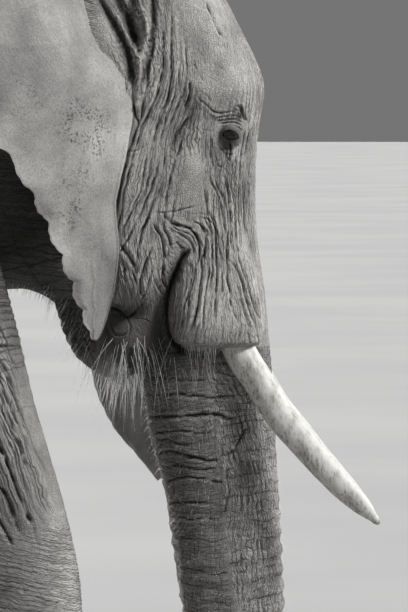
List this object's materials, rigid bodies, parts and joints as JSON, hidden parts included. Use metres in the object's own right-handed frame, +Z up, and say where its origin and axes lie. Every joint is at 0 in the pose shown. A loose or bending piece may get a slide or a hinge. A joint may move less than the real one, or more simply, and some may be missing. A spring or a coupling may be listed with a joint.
{
  "type": "african elephant",
  "caption": "Life-size African elephant cow in a slow walk, head low, trunk hanging, one ear back and one spread, with slender tusks.",
  "frame": {"origin": "on the floor, below the middle of the whole model's box", "axes": "+X the way the elephant faces, +Y its left side, +Z up"},
  "size_m": [3.5066, 1.494, 2.6213],
  "materials": {
    "skin": "dry grey hide, deeply creased",
    "ear_skin": "thin pale grey hide, finely pitted",
    "ivory": "worn ivory with grey stains",
    "nail": "dull horn",
    "eye": "wet, dark brown",
    "hair": "coarse black wire-like hair"
  },
  "bodies": {
    "root": {"chest": "skin", "ear_left": "ear_skin", "ear_right": "ear_skin", "eye_left": "eye", "eye_right": "eye", "foot_front_left": "skin", "foot_front_right": "skin", "foot_hind_left": "skin", "foot_hind_right": "skin", "head": "skin", "leg_front_left": "skin", "leg_front_right": "skin", "leg_hind_left": "skin", "leg_hind_right": "skin", "lower_jaw": "skin", "nail_front_left_1": "nail", "nail_front_left_2": "nail", "nail_front_left_3": "nail", "nail_front_left_4": "nail", "nail_front_right_1": "nail", "nail_front_right_2": "nail", "nail_front_right_3": "nail", "nail_front_right_4": "nail", "nail_hind_left_1": "nail", "nail_hind_left_2": "nail", "nail_hind_left_3": "nail", "nail_hind_right_1": "nail", "nail_hind_right_2": "nail", "nail_hind_right_3": "nail", "neck": "skin", "rump": "skin", "tail": "skin", "tail_brush": "hair", "trunk_middle": "skin", "trunk_tip": "skin", "trunk_upper": "skin", "tusk_left": "ivory", "tusk_right": "ivory"}
  },
  "joints": []
}
